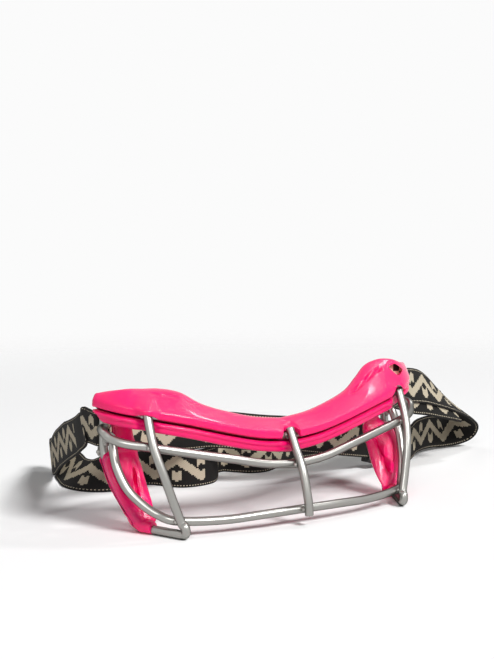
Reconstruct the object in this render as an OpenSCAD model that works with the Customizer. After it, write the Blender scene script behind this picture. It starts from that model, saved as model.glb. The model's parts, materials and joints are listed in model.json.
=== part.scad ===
/* [Wire] */
// Diameter of the round steel wire
wire_d = 4; // [3.6:0.1:4.4]
// Gap between two crossing wires, bridged by the weld
weld_gap = 0.1; // [0.05:0.05:0.2]
// Diameter of a weld bead
bead_d = 2.6; // [2.2:0.1:3.2]

/* [Cage] */
// Half of the distance between the two temple posts
half_span = 79; // [74:1:84]
// How far the middle of the brow wire lies in front of the posts
brow_reach = 30; // [27:0.5:33]
// Height of the brow wire at its middle
brow_h = 38.3; // [37:0.1:41]
// Rise of the brow wire from its middle to the temples
brow_rise = 18.7; // [17:0.1:20]
// Height of the lower end of each temple post
post_low = 34; // [32.5:0.5:35]
// How far the cheek tips lie in front of the posts
cheek_reach = 20.5; // [19:0.5:22]
// How far the lower corners of the side bars lie in front of the posts
side_reach = 41.5; // [39:0.5:44]
// How far the lower end of the centre bar lies in front of the posts
centre_reach = 48.9; // [46:0.1:52]

/* [Pads] */
// Gap between a pad and the wire that it grips
grip_gap = 0.3; // [0.2:0.05:0.4]
// Height of the brow pad above the brow wire, at its middle
pad_rise = 8; // [7:0.5:9]
// Depth of the brow pad in front of the wire
pad_front = 4.5; // [4.2:0.1:5]
// Depth of the brow pad's lower lip below the wire
lip_drop = 7; // [6:0.5:7.5]
// Width of the slit along the brow pad's front
slit_w = 1.6; // [1:0.1:2]
// Thickness of the cheek pads, measured level
cheek_t = 8.4; // [8:0.1:9]

/* [Strap] */
// Width of the elastic webbing
strap_w = 19; // [17:0.5:19.5]
// Thickness of the webbing
strap_t = 1.5; // [1.2:0.1:1.6]
// Gap between the webbing and what it passes
strap_gap = 0.3; // [0.25:0.05:0.35]
// Distance between a temple post and the strap bar behind it
strap_bar_back = 8.5; // [8:0.5:9.5]
// How far the turning loops reach from the strap bars
loop_reach = 8; // [7:0.5:9]
// Length of the hem at the free end
hem_l = 11; // [9:0.5:12]

/* [Slider] */
// Length of the slider along the strap
slider_l = 14; // [12:0.5:16]
// Width of each rail and each end bar of the slider
slider_rail = 2.2; // [1.8:0.1:2.4]
// Thickness of the slider's bars
slider_t = 1.4; // [1.2:0.1:1.8]

/* [Hidden] */

steel = [0.66, 0.66, 0.63];
pink = [1.0, 0.18, 0.47];
webbing = [0.06, 0.05, 0.05];
thread = [0.1, 0.09, 0.09];
plastic = [0.05, 0.05, 0.055];

// The ground is z = 0 and the posts stand on the line y = post_y
post_y = -27;
wire_r = wire_d / 2;
touch = wire_d + weld_gap;
wire_sides = 12;

// Vector helpers
function unit(v) = v / norm(v);
function mix(a, b, f) = a + (b - a) * f;
function flip(p) = [for (q = p) [-q[0], q[1], q[2]]];
function back(p) = [for (i = [len(p) - 1:-1:0]) p[i]];
function rest(p, n) = [for (i = [n:len(p) - 1]) p[i]];

// A smooth curve through all points, with a number of steps between two of them
function ease(a, b, c, d, f) =
    b + 0.5 * f * (c - a + f * (2 * a - 5 * b + 4 * c - d + f * (3 * (b - c) + d - a)));
function smooth(p, steps) = [
    for (i = [0:len(p) - 2])
    let (a = p[max(i - 1, 0)], d = p[min(i + 2, len(p) - 1)])
    for (k = [0:steps - 1]) ease(a, p[i], p[i + 1], d, k / steps),
    p[len(p) - 1]
];

// The direction of a route at one of its points
function heading(p, i) = unit(p[min(i + 1, len(p) - 1)] - p[max(i - 1, 0)]);

// Directions square to a route that turn as little as possible along it
function carried(p, start) =
    [for (i = 0, n = start - (start * heading(p, 0)) * heading(p, 0); i < len(p);
          i = i + 1,
          n = i < len(p) ? n - (n * heading(p, i)) * heading(p, i) : n) unit(n)];

// A solid through closed rings that all have the same number of points
module skin(rings) {
    n = len(rings[0]);
    m = len(rings);
    sides = [
        for (i = [0:m - 2]) for (j = [0:n - 1])
        let (a = i * n + j, b = i * n + (j + 1) % n)
        each [[a, b, b + n], [a, b + n, a + n]]
    ];
    ends = [[for (j = [n - 1:-1:0]) j], [for (j = [0:n - 1]) (m - 1) * n + j]];
    polyhedron(points = [for (r = rings) each r], faces = concat(sides, ends), convexity = 10);
}

// Round wire along a route
module wire(route, start) {
    side = carried(route, start);
    skin([
        for (i = [0:len(route) - 1])
        let (t = heading(route, i), b = cross(t, side[i]))
        [for (k = [0:wire_sides - 1])
            let (a = -(k + 0.5) * 360 / wire_sides)
            route[i] + wire_r * (cos(a) * side[i] + sin(a) * b)]
    ]);
}

// The brow wire, in shares of the half span, of its reach and of its rise
brow_shape = [[0, 0, 0], [0.19, 0.01, 0.09], [0.38, 0.05, 0.27], [0.63, 0.15, 0.55],
              [0.87, 0.32, 0.78], [0.99, 0.53, 0.9], [1.06, 0.8, 1]];
brow_half = [for (f = brow_shape)
    [half_span * f[0], post_y - brow_reach * (1 - f[1]), brow_h + brow_rise * f[2]]];
brow_end = brow_half[len(brow_half) - 1];

// The bend from the brow wire into the post, and the post
bend = 5;
post_top = brow_end[2] - 3;
post_half = [
    [half_span + bend + 0.3, post_y - bend + 2, brow_end[2] + 0.8],
    [half_span + bend - 2, post_y - 0.8, brow_end[2] + 0.9],
    [half_span + 1, post_y, brow_end[2] - 0.9],
    [half_span, post_y, post_top - 1],
    [half_span, post_y, mix(post_top, post_low, 0.5)],
    [half_span, post_y, post_low + 1]
];

// The cheek part, in shares of the tuck, of the reach and of the height of the post's end
cheek_tuck = 10;
tip_h = wire_r;
cheek_shape = [[0.05, 0.15, 0.82], [0.15, 0.39, 0.57], [0.4, 0.63, 0.33], [0.75, 0.85, 0.12], [1, 1, 0]];
cheek_half = [for (f = cheek_shape)
    [half_span - cheek_tuck * f[0], post_y - cheek_reach * f[1], mix(tip_h, post_low, f[2])]];
cheek_tip = cheek_half[len(cheek_half) - 1];
rim_half = concat(brow_half, post_half, cheek_half);
rim_steps = 3;
rim_right = smooth(rim_half, rim_steps);
rim_route = concat(back(flip(rest(rim_right, 1))), rim_right);

// Where a route first reaches a share of the half span, or comes down to a height
function at_x(p, x, i = 0) = p[i + 1][0] >= x || i + 2 >= len(p)
    ? mix(p[i], p[i + 1], (x - p[i][0]) / (p[i + 1][0] - p[i][0])) : at_x(p, x, i + 1);
function at_h(p, z, i = 0) = p[i + 1][2] <= z || i + 2 >= len(p)
    ? mix(p[i], p[i + 1], (z - p[i][2]) / (p[i + 1][2] - p[i][2])) : at_h(p, z, i + 1);

// The side bar stands in front of the brow wire and comes down to a corner on the ground
side_x = half_span * 0.87;
side_weld = at_x(rim_right, side_x) + [0.5, -touch * 1.06, 0];
side_shape = [[0.874, 0.73, 0.755], [0.843, 0.84, 0.53], [0.801, 0.906, 0.3], [0.766, 0.955, 0.135]];
corner = [half_span * 0.752, post_y - side_reach, wire_r + 0.05];
tip_ahead = unit(corner - cheek_tip);
side_half = concat(
    [side_weld + [-0.3, 0.2, 1.4], side_weld],
    [for (f = side_shape) [half_span * f[0], post_y - side_reach * f[1], side_weld[2] * f[2]]],
    [corner + [0.4, 0.1, 3.6], corner + [0.1, -0.2, 1.2], corner + [0.6, 1.8, 0],
     mix(corner, cheek_tip, 0.35), cheek_tip + tip_ahead * 2.5]
);
side_route = smooth(side_half, 3);

// The centre bar leans forward from the brow wire
centre_weld = [0, post_y - brow_reach, brow_h] + touch * [0, -0.83, 0.56];
centre_shape = [[0.32, 0.785], [0.61, 0.595], [0.79, 0.41], [0.95, 0.18], [1, 0]];
centre_end_h = 4.8;
centre_half = concat(
    [centre_weld + [0, 1.1, 1.9]],
    [for (f = centre_shape)
        [0, mix(centre_weld[1], post_y - centre_reach, f[0]), mix(centre_end_h, centre_weld[2], f[1])]]
);
centre_route = smooth(centre_half, 3);

// The upper bar passes behind the upright bars and ends on the posts
upper_h = 26.9;
upper_side = at_h(rest(side_route, 6), 39.3) + [0, touch * 1.03, 0];
upper_mid = at_h(centre_route, upper_h) + [0, touch * 1.13, 0];
upper_end_h = mix(post_low, post_top, 0.575);
upper_half = [
    upper_mid,
    mix(upper_mid, upper_side, 0.2) + [1, -1.5, -1.2],
    mix(upper_mid, upper_side, 0.43) + [0.5, -2.4, -0.8],
    mix(upper_mid, upper_side, 0.72) + [0.4, -1.4, -0.4],
    upper_side,
    [half_span - 0.5, post_y - 21, upper_side[2] + 1.8],
    [half_span + 4, post_y - 16, upper_side[2] + 3.6],
    [half_span + 5.6, post_y - 12.5, upper_end_h - 0.5],
    [half_span + 4.2, post_y - 6.5, upper_end_h + 0.2],
    [half_span + 0.8, post_y - wire_r - 0.3, upper_end_h]
];
upper_right = smooth(upper_half, 3);
upper_route = concat(back(flip(rest(upper_right, 1))), upper_right);

// The lower bar runs low across the front, sweeps up the cheeks and hooks onto the posts
lower_mid = at_h(centre_route, 7.3) + [0, touch, 0];
lower_side = at_h(rest(side_route, 6), 7.4) + [0, touch, 0];
lower_end_h = mix(post_low, post_top, 0.275);
lower_half = [
    lower_mid,
    mix(lower_mid, lower_side, 0.33) + [0, -2.2, -0.3],
    mix(lower_mid, lower_side, 0.67) + [0, -2.2, -1],
    lower_side,
    [half_span * 0.85, post_y - 29.5, lower_side[2] + 2.4],
    [half_span * 0.91, post_y - 24, lower_side[2] + 6.5],
    [half_span * 0.965, post_y - 18.2, 20],
    [half_span * 0.995, post_y - 13.5, 28],
    [half_span - 0.2, post_y - 9.8, 35.5],
    [half_span - 0.9, post_y - 7.6, 40.4],
    [half_span - 0.6, post_y - 5, 41.8],
    [half_span, post_y - wire_r - 1.3, lower_end_h]
];
lower_right = smooth(lower_half, 3);
lower_route = concat(back(flip(rest(lower_right, 1))), lower_right);

// A strap bar is a U of wire behind each post, which holds the strap
strap_low = 35.4;
strap_bar_x = half_span - 3;
strap_bar_y = post_y + strap_bar_back;
strap_bar_top = strap_low + strap_w + wire_r + 0.4;
strap_bar_foot = post_low - 1;
strap_bar_clear = 0.9;
strap_bar_half = [
    [half_span + 1.2, post_y + wire_r + strap_bar_clear, strap_bar_top],
    [strap_bar_x + 1.8, strap_bar_y - 3, strap_bar_top],
    [strap_bar_x + 0.4, strap_bar_y - 0.8, strap_bar_top - 0.7],
    [strap_bar_x, strap_bar_y, strap_bar_top - 3],
    [strap_bar_x, strap_bar_y, strap_bar_foot + 2.8],
    [strap_bar_x + 0.4, strap_bar_y - 0.8, strap_bar_foot + 0.6],
    [strap_bar_x + 1.4, strap_bar_y - 3, strap_bar_foot],
    [half_span, post_y + wire_r + strap_bar_clear, strap_bar_foot]
];
strap_bar_route = smooth(strap_bar_half, 3);

// The brow pad's guide is the brow wire, taken in finer steps
guide = smooth(brow_half, 8);
guide_end = brow_half[len(brow_half) - 1][0] - 0.2;
channel_r = wire_r + grip_gap;

// What the brow pad's section does with the share of the half span:
// crest above its height at the middle, and crest behind the wire
crest_up = [[0, 0], [0.25, 0.2], [0.5, 1], [0.64, 3.8], [0.76, 5.2], [0.88, 4.6], [0.96, 1.8],
            [1.02, -1.4], [1.06, -3.6]];
crest_back = [[0, 6.2], [0.25, 6.8], [0.5, 7.6], [0.64, 9.5], [0.76, 11], [0.88, 9.5], [0.96, 5],
              [1.02, 1.5], [1.06, -1]];

// Notches that let the upright bars out: an arch at the middle, smaller ones at the sides
arch_half = 5;
notch_half = 4.4;
notch_x = side_x - 1;
function swell(u) = abs(u) < 1 ? 1 - u * u * abs(u) : 0;
function arch(x) = swell(x / arch_half);
function notch(x) = swell((x - notch_x) / notch_half);

function brow_section(x) =
    let (
        f = x / half_span,
        crest = [-lookup(f, crest_back), pad_rise + lookup(f, crest_up)],
        foot = [pad_front - 0.2, 3.2],
        up = unit(crest - foot),
        lift = 8 * arch(x) + 5.6 * notch(x),
        slit_top = -0.7,
        slit_low = slit_top - slit_w,
        straight = foot[1] - slit_top,
        rear = min(crest[0] - 1.4, -pad_front),
        lip = pad_front - 0.3 - 2.7 * notch(x) - 0.4 * arch(x),
        from = -50,
        to = -372 + 88 * arch(x) + 58 * notch(x)
    )
    concat(
        [for (u = [lift, lift + 2.2 - 1.4 * arch(x), max(straight, lift + 3.2 - 1.8 * arch(x))])
            u < straight ? [pad_front - 0.1, slit_top + u] : foot + (u - straight) * up],
        [mix(foot, crest, 0.62) + [0.5, 0.9], mix(foot, crest, 0.85) + [0.4, 0.8], crest,
         [crest[0] - 1, crest[1] - 0.8], [rear, crest[1] - 3], [rear, -1.5], [-3.5, -lip_drop],
         [lip - 1.4, -lip_drop], [lip, 1 - lip_drop], [lip, slit_low]],
        [for (k = [0:7]) let (a = mix(from, to, k / 7)) channel_r * [cos(a), sin(a)]]
    );

function brow_ring(x) =
    let (
        p = at_x(guide, x),
        t = x < 1 ? [1, 0, 0] : unit(at_x(guide, x + 1) - at_x(guide, x - 1)),
        n = unit([t[1], -t[0], 0])
    )
    [for (q = brow_section(x)) p + q[0] * n + [0, 0, q[1]]];

brow_stations = concat(
    [0, 1.4, 2.8, 4, arch_half + 0.2],
    [for (i = [1:13]) mix(arch_half, notch_x - notch_half, i / 14)],
    [for (i = [-3:3]) notch_x + i * notch_half / 3],
    [for (i = [1:6]) mix(notch_x + notch_half, guide_end, i / 6)]
);
brow_right = [for (x = brow_stations) brow_ring(x)];
brow_rings = concat([for (r = back(rest(brow_right, 1))) flip(r)], brow_right);

// The right cheek pad by height: its inner edge in from the post and in front of it,
// its outer edge in the same way, how far it covers the wire, how far it grips it, and its depth
cheek_table = [
    [47, 14.1, 0.2, 4.8, 0.4, 1, 0, 0.45], [43.5, 14.5, 0.7, 4.8, 0.8, 1, 0, 0.45],
    [40, 14.9, 1.4, 4.8, 1.4, 1, 0, 0.5], [36, 15.4, 2.7, 4.6, 2.9, 1, 0, 0.45],
    [33.6, 15.7, 3.9, 3.4, 4.6, 1, 0.15, 0.5], [31, 15.8, 5.2, -1.3, 6.5, 1, 1, 1],
    [28, 16.1, 6.7, -1.7, 8.8, 1, 1, 1], [24, 16.3, 9, -1.3, 11.5, 1, 1, 1],
    [20, 16.5, 11.3, -0.4, 13.6, 1, 1, 1], [16, 16.7, 13.6, 0.6, 15.3, 1, 1, 1],
    [13, 16.8, 15.6, 1.7, 16.2, 1, 1, 0.92], [10.5, 16.7, 17.1, 2.6, 16.7, 0.6, 1, 0.82],
    [8, 16.5, 19, 3.6, 17, 0.15, 1, 0.72], [5.5, 16.2, 21.2, 5, 16.8, 0, 1, 0.64]
];
foot_in = 12.5;
foot_w = 6;
foot_d = 3;

function cheek_ring(c) =
    let (
        z = c[0],
        xi = half_span - c[1],
        yi = post_y - c[2],
        xo = half_span - c[3],
        yo = post_y - c[4],
        grip = max(0, min(1, c[6])),
        cover = max(0, min(1, c[5])),
        deep = cheek_t * c[7],
        wire_at = at_h(rest(rim_right, 20), z),
        w = mix([xo - 0.8, yo + deep * 0.5], [wire_at[0], wire_at[1]], grip),
        r = mix(0.3, channel_r * 1.27, grip),
        xe = mix(w[0] - r - 0.5, xo, cover),
        ye = w[1] - max(0.6 * grip + 0.1, sqrt(max(r * r - (xe - w[0]) * (xe - w[0]), 0)))
    )
    [for (q = concat(
        [[xe, ye], [xe, min(mix(yi, yo, (xe - xi) / (xo - xi)) + 0.5, ye - 0.4)]],
        [for (f = [0.2, 0.5, 0.8])
            let (x = mix(xe, xi, f)) [x, mix(yi, yo, (x - xi) / (xo - xi)) - 1.6 * f * (1 - f)]],
        [[xi + 0.2, yi + 0.7], [xi + 0.4, yi + deep * 0.3], [xi + 2.4, yi + deep * 0.72]],
        [for (f = [0.3, 0.7]) [mix(xi, xo, f), mix(yi, yo, f) + deep]],
        [[xo - 1, yo + deep - 0.4], [xo, yo + deep * 0.8], [xo, max(w[1] + 0.6 * grip + 0.1, yo + 1)]],
        [for (k = [0:7]) let (a = mix(15, 345 - 150 * (1 - cover), k / 7)) w + r * [cos(a), sin(a)]]))
        [q[0], q[1], z]];

// The tip of the cheek pad comes down behind the wire to a small flat foot
function foot_ring(z, grow) =
    let (
        xi = half_span - foot_in - grow,
        xo = half_span - foot_in + foot_w + grow,
        yf = cheek_tip[1] + wire_r * 1.9 - grow * 0.1,
        yb = yf + foot_d + grow
    )
    [for (q = concat(
        [[xi + 2.2, yf], [xi + 1.8, yf - 0.1]],
        [[xi + 1.4, yf], [xi + 0.9, yf + 0.1], [xi + 0.4, yf + 0.3]],
        [[xi + 0.1, yf + 0.8], [xi, yf + foot_d * 0.5], [xi + 0.5, yb - 0.5]],
        [[mix(xi, xo, 0.3), yb], [mix(xi, xo, 0.7), yb]],
        [[xo - 0.5, yb - 0.4], [xo, mix(yf, yb, 0.6)], [xo, mix(yf, yb, 0.3)]],
        [for (k = [0:7]) [mix(xo - 0.2, xi + 2.5, k / 7), yf + 0.15]]))
        [q[0], q[1], z]];

cheek_stations = smooth(cheek_table, 2);
cheek_rings = concat(
    [for (c = cheek_stations) cheek_ring(c)],
    [foot_ring(3.2, 1.6), foot_ring(1.6, 0.9), foot_ring(0, 0)]
);

// Weld beads at both sides of the place where two wires touch
module beads(at, along) {
    for (s = [-1, 1]) translate(at + s * (wire_r * 0.75) * along) sphere(d = bead_d, $fn = 16);
}
module both_sides() {
    children();
    mirror([1, 0, 0]) children();
}

// A flat ribbon: each point is a place, then the compass and the rise of its upper edge
function upper_edge(az, el) = [cos(az) * cos(el), sin(az) * cos(el), sin(el)];
function place(q) = [q[0], q[1], q[2]];
function places(route) = [for (q = route) place(q)];
function ribbon_edge(route, i) =
    let (t = heading(places(route), i), w = upper_edge(route[i][3], route[i][4]))
    unit(w - (w * t) * t);
function ribbon_face(route, i) = cross(heading(places(route), i), ribbon_edge(route, i));
function ribbon_rings(route, thick = strap_t, wide = strap_w) = [
    for (i = [0:len(route) - 1])
    let (
        p = place(route[i]),
        w = ribbon_edge(route, i) * wide / 2,
        n = ribbon_face(route, i) * thick / 2
    )
    [p - w - n, p - w + n, p + w + n, p + w - n]
];

// Turning loops round the strap bars
bar_gap = wire_r + 0.4;
leg_off = bar_gap + strap_t / 2;
loop_mid = strap_low + strap_w / 2;
run_start = loop_reach + strap_gap;
right_turn = 60;
module strap_loop() {
    linear_extrude(height = strap_w) intersection() {
        circle(r = loop_reach, $fn = 64);
        union() {
            difference() {
                circle(r = bar_gap + strap_t, $fn = 48);
                circle(r = bar_gap, $fn = 48);
                translate([-2 * loop_reach, 0]) square([4 * loop_reach, 2 * loop_reach]);
            }
            for (s = [-1, 1])
                translate([s * leg_off - strap_t / 2, 0]) square([strap_t, loop_reach]);
        }
    }
}

// Places on the ground plan where the band leaves the turning loops
right_ahead = [sin(right_turn), cos(right_turn), 0];
right_side = [cos(right_turn), -sin(right_turn), 0];
right_bar = [strap_bar_x, strap_bar_y, loop_mid];
right_out = right_bar + leg_off * right_side + run_start * right_ahead;
right_fold = right_bar - leg_off * right_side + run_start * right_ahead;
left_inner = [leg_off - strap_bar_x, strap_bar_y + run_start, loop_mid];
left_outer = [-leg_off - strap_bar_x, strap_bar_y + run_start, loop_mid];

// The stretch on which the slider runs is straight
low_z = strap_w / 2;
stretch_from = [128, 15.4, low_z + 0.4];
stretch_to = [62, 5.3, low_z + 12.9];
stretch_dir = unit(stretch_from - stretch_to);
stretch_side = unit([-stretch_dir[1], stretch_dir[0], 0]);
function on_stretch(x, off = 0) =
    mix(stretch_to, stretch_from, (x - stretch_to[0]) / (stretch_from[0] - stretch_to[0]))
    + off * stretch_side;
layer = strap_t + strap_gap;

// The long run: from the right bar out to its curl, back behind the guard, to the left bar
az_back = 112;
function row(p, az, el) = [p[0], p[1], p[2], az, el];
band_points = concat(
    [row(right_out, az_back, 89), row(right_out + 5 * right_ahead, az_back, 89)],
    [
        [96.5, -10.4, loop_mid + 1, az_back, 88], [106, -5.5, loop_mid + 1.4, az_back, 84],
        [116, -1, loop_mid, az_back, 74], [128, 3.5, loop_mid - 3.6, az_back, 58],
        [140, 8, loop_mid - 9, az_back, 43], [152, 13, loop_mid - 14.5, az_back, 34],
        [164, 19, loop_mid - 19, az_back, 26], [175, 25.5, loop_mid - 23, az_back, 21],
        [183, 31, loop_mid - 28, az_back, 22], [185, 35.5, loop_mid - 33, az_back, 30],
        [180, 38.5, low_z - 0.4, az_back, 45], [171, 38, low_z, az_back, 64],
        [161, 34.5, low_z + 0.2, az_back, 79], [151, 30, low_z + 0.1, az_back, 87],
        [140, 23.5, low_z + 0.1, az_back, 89]
    ],
    [for (x = [128:-11:62]) row(on_stretch(x), az_back, 89)],
    [
        [50, 3.6, low_z + 15.2, 100, 89], [38, 3.7, low_z + 16.6, 90, 89],
        [27, 5.6, low_z + 17.8, 80, 89], [17, 9.5, low_z + 19, 75, 89],
        [9, 14, low_z + 19.8, 75, 89], [0, 16.8, low_z + 20.4, 85, 89],
        [-12, 16.4, low_z + 21.6, 100, 89], [-26, 13.2, low_z + 23.2, 110, 89],
        [-40, 10.2, low_z + 25.2, 110, 89], [-52, 7, low_z + 28, 115, 89],
        [-62, 3, low_z + 31.4, 130, 89], [-69, -1.6, loop_mid - 1.6, 150, 89]
    ],
    [row(left_inner + [0.4, 3, -0.1], 170, 89), row(left_inner, 180, 89)]
);
band_route = smooth(band_points, 3);

// The sewn end: the webbing folded round the right bar lies on the run's back for a short way
sewn_from = 5;
sewn_to = 22;
sewn_off = strap_t + 0.1;
sewn_points = concat(
    [row(right_fold, az_back, 89), row(right_fold + 2.6 * right_ahead + 0.5 * right_side, az_back, 89)],
    [for (i = [sewn_from:sewn_to])
        let (q = band_route[i])
        row(place(q) - sewn_off * ribbon_face(band_route, i), q[3], q[4])]
);

// The adjusting run: from the left bar out to its curl, along the ground, beside the long run
tail_lay = [
    [-77.6, -3, loop_mid - 3, 180, 89], [-74.8, 3.5, loop_mid - 6.4, 178, 88],
    [-72.6, 11, loop_mid - 9.4, 175, 86], [-70.6, 24, loop_mid - 13.4, 170, 86],
    [-68, 40, loop_mid - 18, 165, 86], [-64.6, 57, loop_mid - 23.4, 160, 86],
    [-61.2, 71, loop_mid - 29.4, 155, 84], [-57.6, 82.5, low_z + 0.8, 140, 78],
    [-54.4, 89, low_z - 0.2, 90, 69], [-51, 84.5, low_z - 0.4, 20, 64],
    [-52.6, 76, low_z - 0.8, 0, 59], [-55, 66, low_z - 1.2, 0, 55],
    [-56, 55, low_z - 1.3, 0, 53], [-54.4, 46, low_z - 1.3, 5, 52],
    [-50.6, 39.4, low_z - 1.2, 20, 53], [-44, 36, low_z - 0.5, 50, 63],
    [-35, 37, low_z + 0.15, 80, 78],
    [-27, 38.5, low_z + 0.1, 85, 88], [-21, 34.5, low_z + 0.1, 60, 89],
    [-17, 27, low_z + 0.1, 60, 89], [-10.5, 22, low_z + 0.1, 80, 89],
    [-1, 21.6, low_z + 0.1, 90, 89], [7.5, 25, low_z + 0.1, 110, 89],
    [14, 33, low_z + 0.1, 130, 89], [19, 42.5, low_z + 0.1, 120, 89],
    [25, 45.5, low_z + 0.1, 80, 89], [30.5, 40, low_z + 0.1, 50, 89],
    [36, 34.5, low_z + 0.1, 60, 89], [44, 33, low_z + 0.1, 90, 89],
    [54, 38, low_z + 0.1, 110, 89], [66, 47, low_z + 0.1, 115, 89],
    [79, 53.5, low_z + 0.1, 105, 89], [94, 55, low_z + 0.1, 90, 89],
    [109, 53, low_z + 0.1, 80, 89], [122, 46, low_z + 0.1, 65, 89],
    [131, 36, low_z + 0.2, 30, 89], [130.8, 25.5, low_z + 0.7, 80, 89],
    [127, 18.6, low_z + 1, 100, 89]
];
tail_end_x = 62;
tail_join_x = 121;
tail_points = concat(
    [row(left_outer, 180, 89), row(left_outer + [0, 4, -0.2], 180, 89)],
    tail_lay,
    [for (i = [0:6])
        row(on_stretch(mix(tail_join_x, tail_end_x, i / 6), layer + (i == 0 ? 0.4 : 0)), az_back, 89)]
);
tail_route = smooth(tail_points, 3);
hem_off = layer + strap_t + 0.1;
hem_points = [for (x = [tail_end_x, tail_end_x + hem_l]) row(on_stretch(x, hem_off), az_back, 89)];

// The slider has end bars in front of both layers, a middle bar behind them, and side rails
slider_x = 104.5;
slider_in = strap_w / 2 + strap_gap;
slider_out = slider_in + slider_rail;
front_n = -strap_t / 2 - strap_gap;
rear_n = layer + strap_t / 2 + strap_gap;
stretch_up = cross(stretch_dir, stretch_side);
module on_slider() {
    at = on_stretch(slider_x);
    multmatrix([for (k = [0:2]) [stretch_dir[k], stretch_side[k], stretch_up[k], at[k]]]) children();
}

// How far the whole object reaches, for its origin at the middle of its base
all_x = [for (r = concat(brow_rings, ribbon_rings(band_route))) for (p = r) p[0]];
all_y = [for (r = ribbon_rings(tail_route)) for (p = r) p[1]];
front_y = min([for (p = centre_route) p[1]]) - wire_r;
middle = [(min(all_x) + max(all_x)) / 2, (front_y + max(all_y)) / 2, 0];

module placed() {
    translate(-middle) children();
}

module rim_wire() {
    color(steel) placed() wire(rim_route, [0, 0, 1]);
}
module side_bar_right() {
    color(steel) placed() wire(side_route, [1, 0, 0]);
}
module side_bar_left() {
    color(steel) placed() wire(flip(side_route), [1, 0, 0]);
}
module centre_bar() {
    color(steel) placed() wire(centre_route, [1, 0, 0]);
}
module upper_bar() {
    color(steel) placed() wire(upper_route, [0, 0, 1]);
}
module lower_bar() {
    color(steel) placed() wire(lower_route, [0, 0, 1]);
}
module strap_bar_right() {
    color(steel) placed() wire(strap_bar_route, [1, 0, 0]);
}
module strap_bar_left() {
    color(steel) placed() wire(flip(strap_bar_route), [1, 0, 0]);
}
module brow_pad() {
    color(pink) placed() skin(brow_rings);
}
module cheek_pad_right() {
    color(pink) placed() skin(back(cheek_rings));
}
module cheek_pad_left() {
    color(pink) placed() mirror([1, 0, 0]) skin(back(cheek_rings));
}
module welds_rim() {
    color(steel) placed() {
        beads(mix([0, post_y - brow_reach, brow_h], centre_weld, 0.5), [1, 0, 0]);
        both_sides() beads(side_weld + [0, touch / 2, 0], [1, 0, 0]);
    }
}
module welds_side_upper() {
    color(steel) placed() both_sides() beads(upper_side - [0, touch / 2, 0], [1, 0, 0]);
}
module welds_side_lower() {
    color(steel) placed() both_sides() beads(lower_side - [0, touch / 2, 0], [1, 0, 0]);
}
module welds_centre() {
    color(steel) placed() {
        beads(mix(upper_mid, at_h(centre_route, upper_h), 0.5), [1, 0, 0]);
        beads(lower_mid - [0, touch / 2, 0], [1, 0, 0]);
    }
}
module welds_post() {
    color(steel) placed() both_sides() {
        beads([half_span + 0.6, post_y - wire_r, upper_end_h], [0, 0, 1]);
        beads([half_span, post_y - wire_r, lower_end_h], [0, 0, 1]);
    }
}
module welds_tip() {
    color(steel) placed() both_sides() beads(cheek_tip + tip_ahead * 1.3, [1, 0, 0]);
}
module welds_strap_bar() {
    color(steel) placed() both_sides() {
        beads([half_span + 1, post_y + wire_r + 0.2, strap_bar_top], [1, 0, 0]);
        beads([half_span, post_y + wire_r + 0.2, strap_bar_foot + 0.7], [1, 0, 0]);
    }
}
module strap_loop_right() {
    color(webbing) placed()
        translate([strap_bar_x, strap_bar_y, strap_low]) rotate(-right_turn) strap_loop();
}
module strap_loop_left() {
    color(webbing) placed() translate([-strap_bar_x, strap_bar_y, strap_low]) strap_loop();
}
module strap_band() {
    color(webbing) placed() {
        skin(ribbon_rings(band_route));
        skin(ribbon_rings(sewn_points));
    }
}
module strap_tail() {
    color(webbing) placed() {
        skin(ribbon_rings(tail_route));
        skin(ribbon_rings(hem_points));
    }
}
module slider() {
    color(plastic) placed() on_slider() {
        for (z = [-slider_out, slider_in])
            translate([-slider_l / 2, front_n - slider_t, z])
                cube([slider_l, rear_n - front_n + 2 * slider_t, slider_rail]);
        for (x = [-slider_l / 2, slider_l / 2 - slider_rail])
            translate([x, front_n - slider_t, -slider_out]) cube([slider_rail, slider_t, 2 * slider_out]);
        translate([-slider_rail / 2, rear_n, -slider_out]) cube([slider_rail, slider_t, 2 * slider_out]);
    }
}

// A row of stitches across the webbing is one flat bar
stitch_w = 0.6;
stitch_t = 0.4;
stitch_l = strap_w - 5;
stitch_gap = 0.05;
module stitch_row(from, to, az, el) {
    skin(ribbon_rings([row(from, az, el), row(to, az, el)], stitch_t, stitch_l));
}
module end_stitching() {
    color(thread) placed() for (i = [sewn_from + 1, sewn_to - 1]) {
        out = (strap_t / 2 + stitch_gap + stitch_t / 2) * ribbon_face(band_route, i);
        along = stitch_w / 2 * heading(places(band_route), i);
        at = place(band_route[i]) + out;
        stitch_row(at - along, at + along, band_route[i][3], band_route[i][4]);
    }
}
module hem_stitching() {
    off = hem_off + strap_t / 2 + stitch_gap + stitch_t / 2;
    color(thread) placed() for (x = [tail_end_x + 2, tail_end_x + hem_l - 2])
        stitch_row(on_stretch(x - stitch_w / 2, off), on_stretch(x + stitch_w / 2, off), az_back, 89);
}

rim_wire();
side_bar_left();
side_bar_right();
centre_bar();
upper_bar();
lower_bar();
strap_bar_left();
strap_bar_right();
brow_pad();
cheek_pad_left();
cheek_pad_right();
welds_rim();
welds_side_upper();
welds_side_lower();
welds_centre();
welds_post();
welds_tip();
welds_strap_bar();
strap_loop_left();
strap_loop_right();
strap_band();
strap_tail();
slider();
end_stitching();
hem_stitching();
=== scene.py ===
import json
import math

import bmesh
import bpy
import numpy as np
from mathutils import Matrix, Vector, noise


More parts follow.
